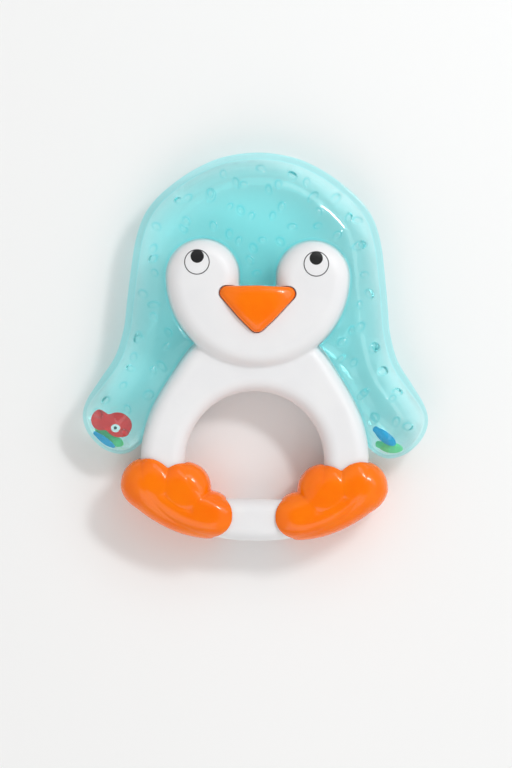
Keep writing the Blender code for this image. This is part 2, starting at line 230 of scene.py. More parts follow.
# ---- meshes -----------------------------------------------------------------------
def net(shape, lo, hi, step, relax=3):
    """Closed quad mesh of shape(x, y, z) = 0, negative inside: surface nets, then the points
    are evened out and drawn onto the exact surface."""
    n = [int(math.ceil((h - l) / step)) + 1 for l, h in zip(lo, hi)]
    ax = [lo[i] + step * np.arange(n[i]) for i in range(3)]
    v = np.array(np.broadcast_to(
        shape(ax[0][:, None, None], ax[1][None, :, None], ax[2][None, None, :]), n))
    s = v < 0
    m = [k - 1 for k in n]
    count = np.zeros(m, np.int8)
    for a in (0, 1):
        for b in (0, 1):
            for c in (0, 1):
                count += s[a:m[0] + a, b:m[1] + b, c:m[2] + c]
    cells = np.argwhere((count > 0) & (count < 8))
    ids = np.full(m, -1)
    ids[tuple(cells.T)] = np.arange(len(cells))
    total, hits = np.zeros((len(cells), 3)), np.zeros(len(cells))
    unit = np.eye(3, dtype=int)
    for k in range(3):
        u, w = unit[(k + 1) % 3], unit[(k + 2) % 3]
        for o in (0 * u, u, w, u + w):
            v0, v1 = v[tuple((cells + o).T)], v[tuple((cells + o + unit[k]).T)]
            cross = (v0 < 0) != (v1 < 0)
            t = v0[cross] / (v0[cross] - v1[cross])
            total[cross] += o + t[:, None] * unit[k]
            hits[cross] += 1
    p = np.array(lo) + step * (cells + total / hits[:, None])
    quads = []
    for k in range(3):
        u, w = (k + 1) % 3, (k + 2) % 3
        low = [slice(0, n[i] - 1) if i == k else slice(1, n[i] - 1) for i in range(3)]
        high = [slice(1, n[i]) if i == k else slice(1, n[i] - 1) for i in range(3)]
        s0, s1 = s[tuple(low)], s[tuple(high)]
        e = np.argwhere(s0 != s1)
        up = s0[tuple(e.T)]
        e[:, u] += 1
        e[:, w] += 1
        q = np.stack([ids[tuple((e - du * unit[u] - dw * unit[w]).T)]
                      for du, dw in ((0, 0), (1, 0), (1, 1), (0, 1))], 1)
        quads.append(np.where(up[:, None], q, q[:, ::-1]))
    quads = np.vstack(quads)

    def settle(rounds):
        h = 0.01
        for _ in range(rounds):
            x, y, z = p.T
            d = shape(x, y, z)
            g = np.stack([shape(x + h, y, z) - shape(x - h, y, z),
                          shape(x, y + h, z) - shape(x, y - h, z),
                          shape(x, y, z + h) - shape(x, y, z - h)], 1) / (2 * h)
            move = np.clip(d, -step, step) / np.maximum((g ** 2).sum(1), 0.25)
            p[:] -= move[:, None] * g

    edges = np.vstack([quads[:, [i, (i + 1) % 4]] for i in range(4)])
    degree = np.bincount(edges.ravel(), minlength=len(p))[:, None]
    settle(2)
    for _ in range(relax):
        mean = np.stack([np.bincount(edges[:, 0], p[edges[:, 1], c], len(p))
                         + np.bincount(edges[:, 1], p[edges[:, 0], c], len(p))
                         for c in range(3)], 1) / degree
        p[:] = 0.5 * p + 0.5 * mean
        settle(1)
    settle(1)
    return p, quads


def mesh_object(name, points, faces, sharp=None):
    mesh = bpy.data.meshes.new(name)
    mesh.from_pydata((np.asarray(points) * MM).tolist(), [],
                     faces if isinstance(faces, list) else faces.tolist())
    mesh.validate()
    mesh.shade_smooth()
    if sharp:
        mesh.set_sharp_from_angle(angle=math.radians(sharp))
    obj = bpy.data.objects.new(name, mesh)
    bpy.context.scene.collection.objects.link(obj)
    return obj


def half_of(name, points, faces, plane, keep_above, sharp=40):
    """The part of a closed mesh on one side of a horizontal plane, closed off there."""
    obj = mesh_object(name, points, faces)
    bm = bmesh.new()
    bm.from_mesh(obj.data)
    made = bmesh.ops.bisect_plane(
        bm, geom=bm.verts[:] + bm.edges[:] + bm.faces[:], dist=1e-7,
        plane_co=(0, 0, plane * MM), plane_no=(0, 0, 1 if keep_above else -1), clear_inner=True)
    rim = [g for g in made["geom_cut"] if isinstance(g, bmesh.types.BMEdge)]
    bmesh.ops.triangle_fill(bm, edges=rim, use_beauty=True, use_dissolve=False,
                            normal=(0, 0, -1 if keep_above else 1))
    bmesh.ops.recalc_face_normals(bm, faces=bm.faces)
    bm.to_mesh(obj.data)
    bm.free()
    obj.data.shade_smooth()
    obj.data.set_sharp_from_angle(angle=math.radians(sharp))
    return obj


def prism(name, loop, low, high):
    """A closed upright prism on a counter-clockwise loop."""
    n = len(loop)
    pts = [(x, y, low) for x, y in loop] + [(x, y, high) for x, y in loop]
    faces = [list(range(n))[::-1], list(range(n, 2 * n))]
    faces += [[i, (i + 1) % n, n + (i + 1) % n, n + i] for i in range(n)]
    return mesh_object(name, pts, faces)


def boolean(obj, cutter, operation="DIFFERENCE", sharp=40):
    mod = obj.modifiers.new("cut", "BOOLEAN")
    mod.operation, mod.solver, mod.object = operation, "EXACT", cutter
    graph = bpy.context.evaluated_depsgraph_get()
    mesh = bpy.data.meshes.new_from_object(obj.evaluated_get(graph))
    obj.modifiers.clear()
    obj.data = mesh
    bpy.data.objects.remove(cutter, do_unlink=True)
    mesh.shade_smooth()
    mesh.set_sharp_from_angle(angle=math.radians(sharp))


# ---- materials ----------------------------------------------------------------------
class Look:
    """A Principled material with helpers for its node tree."""

    def __init__(self, name, colour, rough, **sockets):
        self.mat = bpy.data.materials.new(name)
        self.mat.use_nodes = True
        self.nt = self.mat.node_tree
        self.shader = self.nt.nodes["Principled BSDF"]
        self.out = self.nt.nodes["Material Output"]
        self.shader.inputs["Base Color"].default_value = (*colour, 1)
        self.shader.inputs["Roughness"].default_value = rough
        for key, value in sockets.items():
            self.shader.inputs[key.replace("_", " ")].default_value = value

    def node(self, kind, **values):
        node = self.nt.nodes.new(kind)
        for key, value in values.items():
            if key in node.inputs:
                node.inputs[key].default_value = value
            else:
                setattr(node, key, value)
        return node

    def link(self, a, b):
        self.nt.links.new(a, b)

    def place(self):
        if not hasattr(self, "coords"):
            self.coords = self.node("ShaderNodeTexCoord").outputs["Object"]
        return self.coords

    def noise(self, scale, detail=3.0, rough=0.55):
        node = self.node("ShaderNodeTexNoise", Scale=scale, Detail=detail, Roughness=rough)
        self.link(self.place(), node.inputs["Vector"])
        return node.outputs["Fac"]

    def ramp(self, source, low, high, a, b):
        """source from low to high becomes a to b."""
        node = self.node("ShaderNodeMapRange")
        self.link(source, node.inputs["Value"])
        for key, value in zip(("From Min", "From Max", "To Min", "To Max"), (low, high, a, b)):
            node.inputs[key].default_value = value
        return node.outputs["Result"]

    def mix(self, factor, a, b):
        node = self.node("ShaderNodeMix", data_type="RGBA")
        self.link(factor, node.inputs["Factor"])
        for socket, value in ((node.inputs[6], a), (node.inputs[7], b)):
            if hasattr(value, "is_linked"):
                self.link(value, socket)
            else:
                socket.default_value = (*value, 1)
        return node.outputs[2]

    def bump(self, height, distance, strength=1.0):
        node = self.node("ShaderNodeBump", Strength=strength, Distance=distance)
        self.link(height, node.inputs["Height"])
        self.link(node.outputs["Normal"], self.shader.inputs["Normal"])


def white_look():
    look = Look("white_abs", (0.8, 0.8, 0.81), 0.32, Specular_IOR_Level=0.5,
                Subsurface_Weight=0.08, Subsurface_Scale=0.002)
    look.shader.inputs["Subsurface Radius"].default_value = (1.0, 0.9, 0.85)
    tone = look.noise(90.0, 2.0)
    look.link(look.mix(look.ramp(tone, 0.3, 0.7, 0, 1), (0.80, 0.80, 0.815), (0.83, 0.83, 0.84)),
              look.shader.inputs["Base Color"])
    look.link(look.ramp(look.noise(600.0, 2.0), 0.3, 0.7, 0.40, 0.50), look.shader.inputs["Roughness"])
    look.bump(look.noise(2600.0, 2.0), 0.00001, 0.35)
    return look.mat


def orange_look():
    look = Look("orange_pp", (1.0, 0.2, 0.0), 0.2, Specular_IOR_Level=0.36,
                Subsurface_Weight=0.1, Subsurface_Scale=0.003)
    look.shader.inputs["Subsurface Radius"].default_value = (1.0, 0.35, 0.1)
    tone = look.noise(120.0, 2.0)
    look.link(look.mix(look.ramp(tone, 0.3, 0.7, 0, 1), (0.98, 0.168, 0.0), (1.0, 0.198, 0.0)),
              look.shader.inputs["Base Color"])
    look.link(look.ramp(look.noise(500.0, 2.0), 0.3, 0.7, 0.12, 0.18), look.shader.inputs["Roughness"])
    look.bump(look.noise(1500.0, 2.0), 0.00001, 0.3)
    return look.mat


def pouch_look():
    # The emission gives the film a faint aqua glow. This is painted light: it brightens the aqua all over, shaded
    # parts too.
    look = Look("aqua_pouch", (0.9, 0.996, 0.996), 0.05, IOR=1.17, Transmission_Weight=1.0,
                Coat_Weight=1.0, Coat_IOR=1.5, Coat_Roughness=0.06,
                Emission_Strength=0.05)
    look.shader.inputs["Emission Color"].default_value = (0.15, 0.94, 1.0, 1)
    colour = look.mix(look.ramp(look.noise(60.0, 3.0), 0.3, 0.7, 0, 1),
                      (0.915, 0.995, 0.996), (0.945, 0.998, 0.999))
    # Tints from the mesh's marks. The clear tint is painted light: a paler crown on each bump. The weld tint is the
    # welded flange's own deeper tint. painted_shade is painted shade round each bump's foot, along the white
    # column's edge, at the weld's step and at the outer edge.
    for name, tint in (("clear", (0.97, 1.0, 1.0)), ("weld", (0.64, 0.89, 0.905)),
                       ("painted_shade", (0.26, 0.80, 0.84))):
        mark = look.node("ShaderNodeAttribute", attribute_name=name).outputs["Fac"]
        colour = look.mix(mark, colour, tint)
    look.link(colour, look.shader.inputs["Base Color"])
    look.link(look.ramp(look.noise(900.0, 2.0), 0.3, 0.7, 0.04, 0.09), look.shader.inputs["Roughness"])
    absorb = look.node("ShaderNodeVolumeAbsorption", Density=33.0)
    absorb.inputs["Color"].default_value = (0.12, 0.97, 0.99, 1)
    look.link(absorb.outputs["Volume"], look.out.inputs["Volume"])
    return look.mat


def ink_look(name, colour, rough=0.4):
    look = Look(name, colour, rough, Specular_IOR_Level=0.4)
    tone = look.noise(2500.0, 2.0)
    light = tuple(min(1, c * 1.35 + 0.004) for c in colour)
    look.link(look.mix(look.ramp(tone, 0.35, 0.7, 0, 1), colour, light), look.shader.inputs["Base Color"])
    return look.mat


def float_look(name, colour):
    look = Look(name, colour, 0.42, Specular_IOR_Level=0.15)
    tone = look.noise(700.0, 3.0)
    dark = tuple(c * 0.86 for c in colour)
    look.link(look.mix(look.ramp(tone, 0.3, 0.7, 0, 1), dark, colour), look.shader.inputs["Base Color"])
    look.bump(look.noise(1800.0, 2.0), 0.00003, 0.4)
    return look.mat


WHITE, ORANGE, AQUA = white_look(), orange_look(), pouch_look()
BLACK_INK = ink_look("black_ink", (0.006, 0.006, 0.007))
GREY_INK = ink_look("grey_ink", (0.05, 0.05, 0.055))
WHITE_INK = ink_look("white_ink", (0.75, 0.75, 0.74))
RED = float_look("red_fish", (0.95, 0.02, 0.02))
BLUE = float_look("blue_fish", (0.0, 0.37, 0.72))
GREEN = float_look("green_fish", (0.20, 0.85, 0.34))


def wear(obj, mat, slot, body, *nodes):
    """Gives the piece its material, has it ride on a body, and hides what it replaces. The slot argument is not
    used.
    """
    obj.data.materials.clear()
    obj.data.materials.append(mat)
    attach(obj, body)
    if nodes:
        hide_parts(*nodes)
    return obj


# ---- white shells ---------------------------------------------------------------------
d_body, d_hole, d_face = Plan(BODY), Plan(HOLE), Plan(FACE, soften=3)


def ring_shape(x, y, z, by=0.0):
    """Belly, ring and bar, with a soft crown."""
    d = smax(d_body(x, y), -d_hole(x, y), 0.5)
    return slab(d - by, z - P, RING_HALF + by, 4.2 + by)


def white_shape(x, y, z):
    zz = z - P
    d = d_face(x, y)
    dome = 1 - (1 - np.clip(-d / 12.0, 0, 1)) ** 2
    head = slab(d, zz, np.where(zz > 0, FACE_TOP - 0.7 + 0.7 * dome, FACE_BACK), 4.8)
    return smin(ring_shape(x, y, z), head, 0.7)


fine = 0.5
pts, quads = net(white_shape, (-35.5, -58.5, P - 11), (35.5, 33.5, P + 12), fine)
front = half_of("front_shell_visual", pts, quads, P + 0.13, True)
rear = half_of("rear_shell_visual", pts, quads, P - 0.13, False)
gap_loop = BEAK + normals(BEAK) * 0.22
boolean(front, prism("beak_recess", gap_loop, P + 8.6, P + 20), sharp=35)
wear(front, WHITE, "white_moulding", "toy", "front_shell")
wear(rear, WHITE, "white_moulding", "toy", "rear_shell")

# ---- beak -----------------------------------------------------------------------------
d_beak = Plan(BEAK, pad=2.5, step=0.15)


def beak_shape(x, y, z):
    plate = slab(d_beak(x, y), z - (P + 10.4), 3.0, 2.2)
    dome = np.sqrt(x ** 2 + (y - 12.0) ** 2 + (z - (P + 13.45 - 24)) ** 2) - 24
    return smax(plate, dome, 1.5)


pts, quads = net(beak_shape, (-13, 1.5, P + 7), (13, 19.5, P + 15), 0.3)
beak = wear(mesh_object("beak_visual", pts, quads), ORANGE, "orange_moulding", "toy", "beak")

# ---- feet -----------------------------------------------------------------------------
d_sole = Plan(SOLE, pad=4, step=0.25)


FOOT_R, FOOT_FLAT = 5.8, 2.6


def foot_plan(x, y):
    """The cloud outline."""
    d = d_sole(x, y)
    for cx, cy, r in (HEEL, TOE, TIP):
        d = smin(d, np.sqrt((x - cx) ** 2 + (y - cy) ** 2) - r, 0.6)
    return d


def overlap(x, y):
    """How much larger the outline is where the foot laps over the ring, so that its rounded
    edge comes down to the ring on the outline itself."""
    q = np.clip(4.2 + smax(d_body(x, y), -d_hole(x, y), 0.5), 0, 4.2)
    ring_top = 2.3 + np.sqrt(17.64 - q ** 2)
    rise = np.clip(ring_top + 0.25 - FOOT_FLAT, 0, FOOT_R - 0.1)
    return FOOT_R - np.sqrt(FOOT_R ** 2 - rise ** 2)


# the same, blurred: the crease between two lobes fades out away from its notch
d_soft = Plan(SOLE, pad=9, step=0.4, soften=60, field=foot_plan)
d_puff = Plan(SOLE, pad=9, step=0.4, soften=90, field=foot_plan)


def foot_shape(side):
    def shape(x, y, z):
        x = x * side
        dome = 1 - (1 - np.clip((0.8 - d_puff(x, y)) / 6.8, 0, 1)) ** 2
        d = foot_plan(x, y)
        w = np.clip((-d - 0.4) / 2.6, 0, 1)
        d = d + (d_soft(x, y) - d) * w * w * (3 - 2 * w) - overlap(x, y)
        body = slab(d, z - P, FOOT_R + FOOT_FLAT + 1.1 * dome, FOOT_R)
        return smax(body, -ring_shape(x, y, z, 0.28), 0.6)
    return shape


for side, word in ((1, "right"), (-1, "left")):
    x0, x1 = sorted((side * 4.0, side * 41.0))
    pts, quads = net(foot_shape(side), (x0, -59, P - 10.5), (x1, -31, P + 10.5),
                     0.3)
    for half, plane, above in (("front", P + 0.1, True), ("rear", P - 0.1, False)):
        foot = half_of(f"{word}_foot_{half}_visual", pts, quads, plane, above)
        wear(foot, ORANGE, "orange_moulding", "toy", f"{word}_foot_{half}")

# ---- printed eyes -----------------------------------------------------------------------
bpy.context.view_layer.update()
face_tree = BVHTree.FromObject(front, bpy.context.evaluated_depsgraph_get())


def on_face(x, y):
    hit = face_tree.ray_cast(Vector((x * MM, y * MM, 0.05)), Vector((0, 0, -1)))
    return hit[0].z / MM


def print_disc(name, cx, cy, inner, outer, lift, mat, around=96):
    """A thin layer of ink that follows the surface under it."""
    radii = np.linspace(inner, outer, 4 if inner else 7)
    pts, faces, n = [], [], around
    for level, drop in ((lift, 0.0), (-0.02, 0.0)):
        for r in radii:
            for k in range(n):
                a = 2 * math.pi * k / n
                x, y = cx + r * math.cos(a), cy + r * math.sin(a)
                pts.append((x, y, on_face(x, y) + level))
    m = len(radii)
    for i in range(m - 1):
        for k in range(n):
            a, b = i * n + k, i * n + (k + 1) % n
            faces.append([a, a + n, b + n, b])
            a, b = a + m * n, b + m * n
            faces.append([a, b, b + n, a + n])
    rims = [(m - 1) * n] + ([0] if inner else [])
    for start in rims:
        for k in range(n):
            a, b = start + k, start + (k + 1) % n
            quad = [a, a + m * n, b + m * n, b]
            faces.append(quad if start else quad[::-1])
    obj = mesh_object(name, pts, faces)
    bm = bmesh.new()
    bm.from_mesh(obj.data)
    bmesh.ops.remove_doubles(bm, verts=bm.verts, dist=1e-8)
    bmesh.ops.dissolve_degenerate(bm, edges=bm.edges, dist=1e-8)
    bm.to_mesh(obj.data)
    bm.free()
    obj.data.shade_smooth()
    return wear(obj, mat, None, "toy")


for sx, word in ((-1, "left"), (1, "right")):
    print_disc(f"{word}_eye_line", sx * 17.2 - 0.4, 24.0, 3.4, 3.68, 0.03, GREY_INK, 128)
    print_disc(f"{word}_pupil", sx * 17.15 - 0.4, 25.65, 0.0, 1.92, 0.035, BLACK_INK)

# ---- pouch ------------------------------------------------------------------------------
GAP = 0.16


def crossings(a, b):
    """Where two closed loops cross: (point, index in a, index in b)."""
    ea, eb = np.roll(a, -1, 0) - a, np.roll(b, -1, 0) - b
    d = b[None] - a[:, None]
    den = ea[:, None, 0] * eb[None, :, 1] - ea[:, None, 1] * eb[None, :, 0]
    den = np.where(np.abs(den) < 1e-12, 1e-12, den)
    t = (d[..., 0] * eb[None, :, 1] - d[..., 1] * eb[None, :, 0]) / den
    u = (d[..., 0] * ea[:, None, 1] - d[..., 1] * ea[:, None, 0]) / den
    return [(a[i] + t[i, j] * ea[i], i, j)
            for i, j in np.argwhere((t >= 0) & (t < 1) & (u >= 0) & (u < 1))]


def run(loop, i, j):
    """Points of the loop after index i up to index j, going forwards."""
    n = len(loop)
    return loop[[(i + 1 + k) % n for k in range((j - i) % n)]]


col_face = FACE + normals(FACE) * GAP
col_body = BODY + normals(BODY) * GAP
neck = sorted(crossings(col_face, col_body), key=lambda c: c[0][0])
neck = [neck[0], neck[-1]]
hem = sorted((c for c in crossings(POUCH, col_body) if c[0][1] < -15), key=lambda c: c[0][0])
hem = [hem[0], hem[-1]]
outer_run = run(POUCH, hem[1][1], hem[0][1])
left_run = run(col_body, neck[0][2], hem[0][2])[::-1]
face_run = run(col_face, neck[0][1], neck[1][1])
if face_run[:, 1].mean() < FACE_Y:
    face_run = run(col_face, neck[1][1], neck[0][1])
face_run = face_run[::-1] if face_run[0, 0] > face_run[-1, 0] else face_run
right_run = run(col_body, hem[1][2], neck[1][2])[::-1]
column = np.vstack([[hem[0][0]], left_run, [neck[0][0]], face_run, [neck[1][0]], right_run,
                    [hem[1][0]]])
border = np.vstack([column, outer_run])        # the pouch lies on its right, going round


def d_out(x, y):
    return -signed(x, y, POUCH)


def d_col(x, y):
    return np.minimum(signed(x, y, col_face), signed(x, y, col_body))


def scatter(spacing, seed, edge_out, edge_col):
    """Seeded even scatter of bumps over the pouch, kept off its edges."""
    gen = np.random.default_rng(seed)
    tries = np.stack([gen.uniform(-50, 50, 9000), gen.uniform(-32, 56, 9000)], 1)
    ok = (d_out(*tries.T) > edge_out) & (d_col(*tries.T) > edge_col)
    kept = []
    for p in tries[ok]:
        if all(np.hypot(*(p - q)) > spacing for q in kept):
            kept.append(p)
    kept = np.array(kept)
    turn = gen.uniform(0, math.pi, len(kept))
    size = gen.uniform(0.85, 1.15, len(kept))
    return kept, turn, size


BUMPS = {1: scatter(6.2, 11, 4.4, 3.0), -1: scatter(7.0, 23, 5.6, 3.2)}
BUMP_R, BUMP_H = 1.3, 0.6


def bumps_at(x, y, which):
    centres, turn, size = BUMPS[which]
    out = np.zeros_like(x)
    for (cx, cy), t, k in zip(centres, turn, size):
        near = (np.abs(x - cx) < 2) & (np.abs(y - cy) < 2)
        dx, dy = x[near] - cx, y[near] - cy
        u = (dx * math.cos(t) + dy * math.sin(t)) / (1.22 * BUMP_R * k)
        v = (-dx * math.sin(t) + dy * math.cos(t)) / (0.88 * BUMP_R * k)
        q = np.clip(1 - u * u - v * v, 0, 1)
        out[near] += BUMP_H * k * q
    return out


def narrow(y):
    """How much narrower the weld is towards the tips of the flippers."""
    t = np.clip((-8.0 - y) / 12.0, 0, 1)
    return 0.7 * t * t * (3 - 2 * t)


def marks_at(x, y, o, c, which):
    """How much of each tint shows: the weld's own deeper tint on the flange; painted shade round each bump's foot,
    more on one side of it, and in lines along the white column, at the weld's step and at the outer edge; a painted
    paler crown on each bump."""
    centres, turn, size = BUMPS[which]
    painted_shade, clear = np.zeros_like(x), np.zeros_like(x)
    for (cx, cy), t, k in zip(centres, turn, size):
        near = (np.abs(x - cx) < 2.6) & (np.abs(y - cy) < 2.6)
        dx, dy = x[near] - cx, y[near] - cy
        u = (dx * math.cos(t) + dy * math.sin(t)) / (1.22 * BUMP_R * k)
        v = (-dx * math.sin(t) + dy * math.cos(t)) / (0.88 * BUMP_R * k)
        r = np.hypot(u, v)
        # painted shade: a dark ring round each bump's foot, heavier on one side, mostly towards +Y
        shade_side = 0.5 + 0.5 * np.cos(np.arctan2(dy, dx) - math.pi / 2 - 0.9 * math.sin(5 * t))
        ring = np.exp(-((r - 0.78) / 0.2) ** 2) * (0.25 + 0.75 * shade_side)
        painted_shade[near] = np.maximum(painted_shade[near], ring)
        # painted light: a paler crown on each bump
        clear[near] = np.maximum(clear[near], np.exp(-(r / 0.45) ** 2))
    # painted shade: a dark line along the edge of the white face and body
    painted_shade = np.maximum(painted_shade, 0.6 * np.exp(-((c - 0.25) / 0.55) ** 2))
    # painted shade: a dark line at the foot of the weld's step, fainter towards the flipper tips, and another along
    # the outer edge
    step_shade = (0.6 - 0.6 * narrow(y)) * np.exp(-((o + narrow(y) - FLANGE - 0.16) / 0.17) ** 2)
    painted_shade = np.maximum(painted_shade, np.maximum(step_shade, 0.42 * np.exp(-(o / 0.22) ** 2)))
    weld = np.clip((FLANGE + 0.1 - narrow(y) - o) / 0.15, 0, 1)
    return painted_shade, clear, weld


def height(x, y, o, c, which):
    """Height of the film over the parting plane, from the distances to its two edges."""
    step0 = FLANGE_T + 0.22
    o0, o = o, o + narrow(y) * np.clip(o / 0.4, 0, 1)
    edge = FLANGE_T * np.sqrt(np.clip(1 - (1 - np.clip(o0 / 0.4, 0, 1)) ** 2, 0, 1))
    rise = np.clip((o - FLANGE) / 0.4, 0, 1)
    edge = edge + rise * rise * (3 - 2 * rise) * 0.22
    u = np.clip((o - FLANGE - 0.36) / (SHOULDER if which > 0 else SHOULDER - 0.5), 0, 1)
    shoulder = (POUCH_TOP - step0) * np.sin(0.5 * math.pi * u)
    rim = edge + shoulder
    w = np.clip(c / 1.5, 0, 1)
    inner = POUCH_TOP + 0.25 - 1.5 * (1 - np.sqrt(np.clip(1 - (1 - w) ** 2, 0, 1)))
    swell = 0.06 * np.sin(0.19 * x + 0.7 * which) * np.cos(0.16 * y + 0.4) \
        + 0.03 * np.sin(0.33 * y - 0.21 * x + which)
    body = smin(rim, inner, 0.9) + swell * np.clip((o - FLANGE - 3) / 7, 0, 1)
    return np.maximum(np.minimum(body, edge + shoulder), 0) + bumps_at(x, y, which)


def pouch_side(which):
    """Points in plan for one film, and its triangles."""
    n_out = np.array([normals(POUCH)[np.argmin(np.hypot(*(POUCH - p).T))] for p in outer_run])
    col_n = []
    nf, nb = normals(FACE), normals(BODY)
    for p in column:
        i, j = np.argmin(np.hypot(*(col_face - p).T)), np.argmin(np.hypot(*(col_body - p).T))
        near_face = np.hypot(*(col_face[i] - p)) < np.hypot(*(col_body[j] - p))
        col_n.append(nf[i] if near_face else nb[j])
    col_n = np.array(col_n)
    pools = []
    for d in (0.12, 0.3, 0.6, 1.35, FLANGE - 0.12, FLANGE, FLANGE + 0.08, FLANGE + 0.16,
              FLANGE + 0.24, FLANGE + 0.34, FLANGE + 0.46, FLANGE + 0.7, FLANGE + 1.1, FLANGE + 1.6,
              FLANGE + 2.3, FLANGE + 3.1, FLANGE + 4.0, FLANGE + 5.0, FLANGE + 6.0, FLANGE + 7.1,
              FLANGE + 8.2):
        inset = d - (narrow(outer_run[:, 1]) if d > 0.8 else 0 * outer_run[:, 1])
        q = outer_run - n_out * inset[:, None]
        if d > 4:
            q, inset = q[::2], inset[::2]
        o, c = d_out(*q.T), d_col(*q.T)
        keep = (o > inset - 0.02) & (c > (0.15 if d < 3 else 2.2))
        pools.append(q[keep])
    for d in (0.1, 0.25, 0.5, 0.85, 1.25, 1.7):
        q = column + col_n * d
        if d > 1:
            q = q[::2]
        o, c = d_out(*q.T), d_col(*q.T)
        pools.append(q[(c > d - 0.02) & (o > (3.2 if d > 0.3 else 0.5))])
    step = 1.0
    gx, gy = np.meshgrid(np.arange(-50, 50, step), np.arange(-32, 57, step * 0.866))
    gx = gx + (np.arange(gx.shape[0]) % 2)[:, None] * step / 2
    q = np.stack([gx.ravel(), gy.ravel()], 1)
    centres, turn, size = BUMPS[which]
    far = np.ones(len(q), bool)
    for c in centres:
        far &= np.hypot(*(q - c).T) > 1.75
    q = q[far]
    o, c = d_out(*q.T), d_col(*q.T)
    pools.append(q[(o > FLANGE + 8.8) & (c > 2.1)])
    middle = (o > FLANGE + 2.6) & (o <= FLANGE + 8.8) & (c > 2.1) & (c < 2.9)
    pools.append(q[middle])
    rings = []
    for (cx, cy), t, k in zip(centres, turn, size):
        for r, n in ((0, 1), (0.25, 6), (0.5, 10), (0.72, 14), (0.88, 16), (0.97, 18), (1.04, 18), (1.3, 16)):
            a = 2 * math.pi * (np.arange(n) + 0.5 * (int(r * 100) % 2)) / n
            u, v = 1.22 * BUMP_R * k * r * np.cos(a), 0.88 * BUMP_R * k * r * np.sin(a)
            rings.append(np.stack([cx + u * math.cos(t) - v * math.sin(t),
                                   cy + u * math.sin(t) + v * math.cos(t)], 1))
    rings = np.vstack(rings)
    pool = np.vstack(pools)
    far = np.ones(len(pool), bool)
    for (cx, cy), k in zip(centres, size):
        d = np.hypot(pool[:, 0] - cx, pool[:, 1] - cy)
        far &= d > 1.85 * k
    pool = np.vstack([pool[far], rings[(d_col(*rings.T) > 0.3) & (d_out(*rings.T) > 0.3)]])
    pts = np.vstack([border, pool])
    n = len(border)
    edges = [(i, (i + 1) % n) for i in range(n)]
    out = geometry.delaunay_2d_cdt([Vector(p) for p in pts], edges, [], 1, 1e-5)
    return out


def pouch_mesh():
    n = len(border)
    sheets = []
    for which in (1, -1):
        co, _, tris, origin, _, _ = pouch_side(which)
        xy = np.array([(v.x, v.y) for v in co])
        place = {}
        for i, src in enumerate(origin):
            for k in src:
                if k < n:
                    place[k] = i
        o, c = np.maximum(d_out(*xy.T), 0), np.maximum(d_col(*xy.T), 0)
        z = height(xy[:, 0], xy[:, 1], o, c, which)
        on_hem = [place[k] for k in range(len(column), n)]
        z[on_hem] = 0
        z[[place[0], place[len(column) - 1]]] = 0
        sheets.append((xy, z, tris, place, marks_at(xy[:, 0], xy[:, 1], o, c, which)))
    pts, faces = [], []
    (xy, z, tris, place, marks), (xy2, z2, tris2, place2, marks2) = sheets
    pts += [(x, y, P + h) for (x, y), h in zip(xy, z)]
    base = len(pts)
    index2 = {}
    for i, ((x, y), h) in enumerate(zip(xy2, z2)):
        index2[i] = len(pts)
        pts.append((x, y, P - h))
    shared = list(range(len(column), n)) + [0, len(column) - 1]
    for k in shared:
        index2[place2[k]] = place[k]

    def turned(t, xy, up):
        a, b, c = (xy[i] for i in t)
        ccw = (b[0] - a[0]) * (c[1] - a[1]) - (b[1] - a[1]) * (c[0] - a[0]) > 0
        return list(t) if ccw == up else list(t)[::-1]

    faces += [turned(t, xy, True) for t in tris]
    faces += [[index2[i] for i in turned(t, xy2, False)] for t in tris2]
    rows = 5
    grid = []
    for k in range(len(column)):
        top, low = place[k], index2[place2[k]]
        line = [top]
        if top != low:
            zt, zl = pts[top][2], pts[low][2]
            for r in range(1, rows):
                line.append(len(pts))
                f = r / rows
                pts.append((*column[k], zt + (zl - zt) * f))
        line.append(low)
        grid.append(line)
    for a, b in zip(grid[:-1], grid[1:]):
        if len(a) == 2 and len(b) == 2:
            continue
        if len(a) == 2:
            faces += [[a[0], b[r + 1], b[r]] for r in range(rows)]
        elif len(b) == 2:
            faces += [[a[r], a[r + 1], b[0]] for r in range(rows)]
        else:
            faces += [[a[r], a[r + 1], b[r + 1], b[r]] for r in range(rows)]
    obj = mesh_object("pouch_visual", pts, faces)
    # the painted shade, the painted paler crowns (clear) and the weld tint go onto the mesh as point attributes
    for name, a, b in zip(("painted_shade", "clear", "weld"), marks, marks2):
        values = np.zeros(len(pts))
        values[:base] = a
        values[base:base + len(b)] = b
        obj.data.attributes.new(name, "FLOAT", "POINT").data.foreach_set("value", values.astype(np.float32))
    bm = bmesh.new()
    bm.from_mesh(obj.data)
    loose = [v for v in bm.verts if not v.link_faces]
    bmesh.ops.delete(bm, geom=loose, context="VERTS")
    bmesh.ops.recalc_face_normals(bm, faces=bm.faces)
    bad = sum(1 for e in bm.edges if len(e.link_faces) != 2)
    print("pouch faces", len(bm.faces), "open edges", bad, "volume cc", round(bm.calc_volume() * 1e6, 2))
    bm.to_mesh(obj.data)
    bm.free()
    obj.data.shade_smooth()
    obj.data.set_sharp_from_angle(angle=math.radians(55))
    return obj


pouch = wear(pouch_mesh(), AQUA, "aqua_film", "toy", "pouch_front_skin", "pouch_rear_skin", "water_fill",
             "fill_plug")

# ---- floats -----------------------------------------------------------------------------
def placed(x, y, at, turn):
    """World to fish: its own length along u, nose at +u."""
    c, s = math.cos(math.radians(turn)), math.sin(math.radians(turn))
    dx, dy = x - at[0], y - at[1]
    return dx * c + dy * s, -dx * s + dy * c


def red_shape(at, turn, level):
    def shape(x, y, z):
        u, v = placed(x, y, at, turn)
        w = z - level
        head = ball(u, v, w, (2.6, -0.1, 0), (3.5, 3.4, 0.7))
        tail = ball(u, v, w, (-2.6, 0.1, 0), (2.85, 2.75, 0.5))
        return smin(head, tail, 1.0)
    return shape


